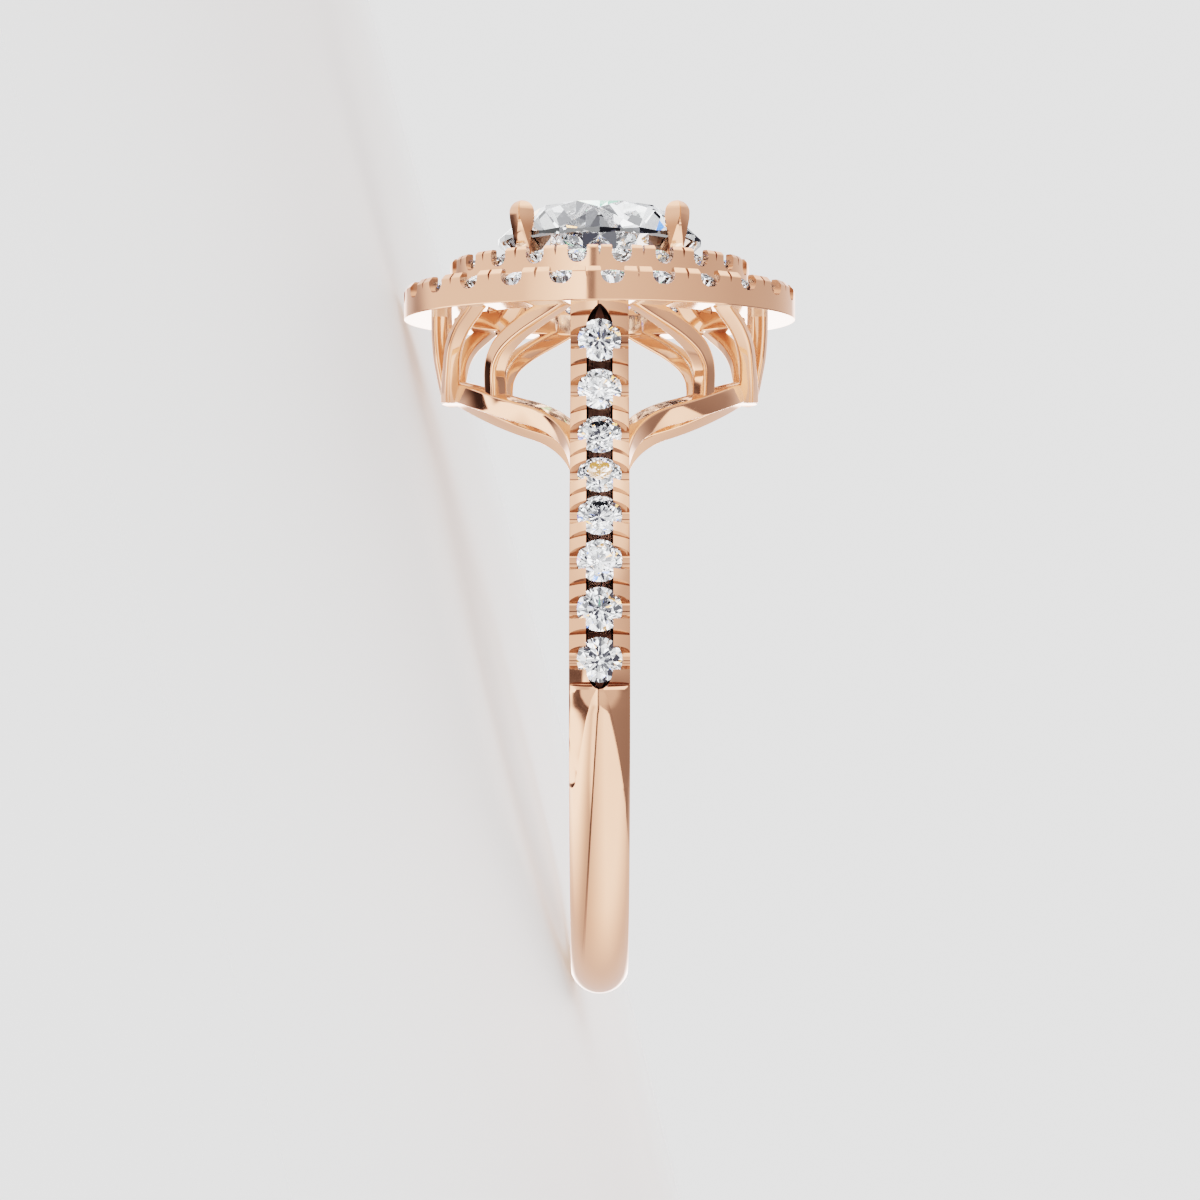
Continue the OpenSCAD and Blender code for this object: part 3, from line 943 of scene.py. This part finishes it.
def studio():
    """Soft studio light all round. Directions are those of the upright drawing: x towards the eye, y right, z up."""
    world = bpy.data.worlds.new("studio")
    bpy.context.scene.world = world
    world.use_nodes = True
    t = world.node_tree
    bg = t.nodes["Background"]
    out = t.nodes["World Output"]
    tc = t.nodes.new("ShaderNodeTexCoord")
    turned = (Matrix.Rotation(math.pi / 2 - LEAN, 3, "X"))
    axes = []
    for k in range(3):
        d = t.nodes.new("ShaderNodeVectorMath")
        d.operation = "DOT_PRODUCT"
        t.links.new(tc.outputs["Generated"], d.inputs[0])
        v = turned @ Vector([1.0 if i == k else 0.0 for i in range(3)])
        d.inputs[1].default_value = v
        axes.append(d.outputs["Value"])
    x, y, z = axes

    def mul(a, b):
        return math_node(t, "MULTIPLY", a, b)

    def add(a, b):
        return math_node(t, "ADD", a, b)

    def mix(a, b, f):
        """a where f is 0, b where f is 1."""
        n = t.nodes.new("ShaderNodeMix")
        n.data_type = "FLOAT"
        for socket, v in ((n.inputs[0], f), (n.inputs[2], a), (n.inputs[3], b)):
            if isinstance(v, (int, float)):
                socket.default_value = v
            else:
                t.links.new(v, socket)
        return n.outputs[0]

    def window(v, lo, hi, soft):
        return mul(ramp_up(t, v, lo - soft, lo + soft), ramp_up(t, v, hi + soft, hi - soft))

    az = math_node(t, "ARCTAN2", y, x)
    el = math_node(t, "ARCSINE", z)
    deg = math.pi / 180

    def ease(v, lo, hi, a, b):
        """Linear from a to b while v goes from lo to hi."""
        n = t.nodes.new("ShaderNodeMapRange")
        t.links.new(v, n.inputs["Value"])
        for k, q in zip(("From Min", "From Max", "To Min", "To Max"), (lo, hi, a, b)):
            n.inputs[k].default_value = q
        return n.outputs["Result"]

    def less(v, f, amount):
        """v made darker by amount where f is 1."""
        return mul(v, mix(1.0, 1.0 - amount, f))

    # signed distances to two straight edges low on the left and on the right
    low_left = mul(add(z, mul(y, -1.54)), 1 / 1.836)
    low_right = mul(add(z, mul(y, 0.38)), 1 / 1.07)
    # left: a panel low down, a plainer wall above
    rise = ease(low_left, 0.0, 0.53, 0.0, 1.0)
    panel = mix(mix(0.88, 3.2, mul(rise, rise)), ease(low_left, 0.0, 0.5, 1.0, 1.45), ramp_up(t, x, -0.6, -0.9))
    panel = mix(panel, 2.3, mul(ramp_up(t, az, -50 * deg, -28 * deg), ramp_up(t, low_left, 0.3, 0.15)))
    wall = mix(1.45, ease(az, -45 * deg, -10 * deg, 1.5, 3.0), ramp_up(t, az, -50 * deg, -40 * deg))
    left = mix(panel, wall, ramp_up(t, el, -3 * deg, 2 * deg))
    # right: browner, darkest just above the low edge
    dim = mix(ease(low_right, 0.0, 0.32, 0.29, 0.42), 1.0, ramp_up(t, az, 42 * deg, 12 * deg))
    dim = mix(dim, 1.1, ramp_up(t, az, 118 * deg, 158 * deg))
    plain = mix(ease(az, 10 * deg, 85 * deg, 1.25, 0.78), 1.25, ramp_up(t, az, 115 * deg, 160 * deg))
    right = mix(dim, plain, ramp_up(t, el, -3 * deg, 6 * deg))
    level = mix(left, right, ramp_up(t, az, -4 * deg, -2 * deg))
    # below both edges
    low = mix(ease(y, -0.45, 0.3, 1.3, 2.5), 1.1, ramp_up(t, x, 0.1, -0.8))
    level = mix(level, low, mul(ramp_up(t, low_left, 0.006, -0.006), ramp_up(t, low_right, 0.012, -0.012)))
    # the gap along the left edge, fading backwards
    gap = mul(window(low_left, -0.058, 0.018, 0.014), mul(ramp_up(t, y, 0.02, -0.06), ramp_up(t, x, -1.0, 0.5)))
    level = less(level, gap, 0.92)
    # the upright gap behind the eye
    level = less(level, mul(window(az, -7.2 * deg, -2.4 * deg, 1.2 * deg), window(el, -12 * deg, 62 * deg, 2 * deg)), 0.86)
    # a black flag on the left, soft on one side and hard on the other
    tilt = add(el, mul(add(az, 124 * deg), 0.19))
    flag = mul(mul(ramp_up(t, az, -172 * deg, -114 * deg), ramp_up(t, az, -105.6 * deg, -106.8 * deg)),
               mul(ramp_up(t, tilt, -11.2 * deg, -10.0 * deg), ramp_up(t, tilt, 8.3 * deg, 3.3 * deg)))
    level = less(level, flag, 0.985)
    # a smaller one nearer the eye
    slope = add(el, mul(add(az, 74 * deg), -0.14))
    near = mul(window(az, -98 * deg, -47 * deg, 4 * deg), mul(ramp_up(t, slope, -11.5 * deg, -8 * deg), ramp_up(t, el, 3.4 * deg, 0.8 * deg)))
    level = less(level, near, 0.935)
    # a faint streak from it towards the eye
    streak = add(el, mul(add(az, 82 * deg), -0.26))
    level = less(level, mul(window(az, -84 * deg, -58 * deg, 3 * deg), window(streak, -9.6 * deg, -7.4 * deg, 0.8 * deg)), 0.4)
    # behind the ring
    level = mix(level, 1.15, mul(ramp_up(t, x, -0.5, -0.8), ramp_up(t, z, -0.2, -0.4)))
    level = mix(level, ease(z, -0.3, 0.3, 3.6, 2.8), mul(ramp_up(t, x, -0.89, -0.97), window(z, -0.26, 0.5, 0.08)))
    level = mix(level, 7.5, mul(ramp_up(t, x, -0.955, -0.985), window(z, -0.24, 0.0, 0.05)))
    # lighter upward and overhead, dimmer high up behind the eye
    level = mix(level, ease(x, -1, 1, 2.0, 1.7), ramp_up(t, z, 0.36, 0.6))
    level = mix(level, 2.7, ramp_up(t, z, 0.62, 0.80))
    ahead = mul(window(az, -24 * deg, 24 * deg, 9 * deg), ramp_up(t, z, 0.17, 0.27))
    level = mix(level, ease(z, 0.2, 0.95, 0.62, 1.5), ahead)
    # what is seen through the stones: many small lamps and dark gaps, a few of them coloured
    cells = t.nodes.new("ShaderNodeTexVoronoi")
    cells.inputs["Scale"].default_value = 4.3
    t.links.new(tc.outputs["Generated"], cells.inputs["Vector"])
    pick = t.nodes.new("ShaderNodeSeparateColor")
    t.links.new(cells.outputs["Color"], pick.inputs["Color"])
    ramp = t.nodes.new("ShaderNodeValToRGB")
    ramp.color_ramp.interpolation = "CONSTANT"
    e = ramp.color_ramp.elements
    steps = ((0.0, (0.02, 0.02, 0.025)), (0.22, (0.12, 0.122, 0.125)), (0.44, (0.34, 0.345, 0.35)), (0.66, (0.6, 0.605, 0.61)), (0.84, (1, 1, 1)),
             (0.918, (0.10, 0.22, 0.80)), (0.948, (0.95, 0.45, 0.14)), (0.966, (0.20, 0.55, 0.36)), (0.975, (1, 1, 1)))
    e[0].position, e[0].color = steps[0][0], (*steps[0][1], 1)
    e[1].position, e[1].color = steps[1][0], (*steps[1][1], 1)
    for pos, col in steps[2:]:
        q = e.new(pos)
        q.color = (*col, 1)
    t.links.new(pick.outputs["Red"], ramp.inputs["Fac"])
    path = t.nodes.new("ShaderNodeLightPath")
    clear = math_node(t, "MAXIMUM", path.outputs["Is Transmission Ray"], path.outputs["Is Singular Ray"])
    camera = path.outputs["Is Camera Ray"]
    level = mix(level, 5.0, clear)
    level = mix(level, BACKDROP, camera)

    def tinted(below, colour, f):
        n = t.nodes.new("ShaderNodeMix")
        n.data_type = "RGBA"
        t.links.new(f, n.inputs[0])
        for socket, v in ((n.inputs[6], below), (n.inputs[7], colour)):
            if isinstance(v, tuple):
                socket.default_value = v
            else:
                t.links.new(v, socket)
        return n.outputs[2]

    # warm light on the metal, plain light on the floor, many small lamps for the stones
    depth = path.outputs["Ray Depth"]
    warm = tinted((1.0, 0.81, 0.75, 1), (1.05, 1.2, 1.28, 1), ramp_up(t, depth, 2.4, 2.6))
    warm = tinted(warm, (1.15, 2.0, 2.7, 1), ramp_up(t, depth, 3.4, 3.6))
    warm = tinted(warm, (1.25, 3.0, 4.8, 1), ramp_up(t, depth, 4.4, 4.6))
    colour = tinted((1, 1, 1, 1), warm, path.outputs["Is Glossy Ray"])
    colour = tinted(colour, ramp.outputs["Color"], clear)
    colour = tinted(colour, (1, 1, 1, 1), camera)
    t.links.new(colour, bg.inputs["Color"])
    t.links.new(level, bg.inputs["Strength"])
    t.links.new(bg.outputs[0], out.inputs["Surface"])


studio()
view = bpy.context.scene.view_settings
view.view_transform = "Filmic"
view.look = "Medium High Contrast"

# ---------------------------------------------------------------------- camera
cam = bpy.data.cameras.new("camera")
cam.sensor_width, cam.sensor_height, cam.sensor_fit = 36.0, 36.0, "HORIZONTAL"
cam.lens = 2714 / 1200 * 36
cam.clip_start, cam.clip_end = 0.005, 20
eye = bpy.data.objects.new("camera", cam)
bpy.context.scene.collection.objects.link(eye)
turn = (Matrix.Rotation(math.pi / 2 - LEAN, 3, "X"))
right, up, back = turn @ Vector((0, 1, 0)), turn @ Vector((0, 0, 1)), turn @ Vector((1, 0, 0))
m = Matrix((right, up, back)).transposed().to_4x4()
m.translation = row((87, 0, 2.3))
eye.matrix_world = m
cam.shift_x = (600 - 599.6) / 1200
bpy.context.scene.camera = eye
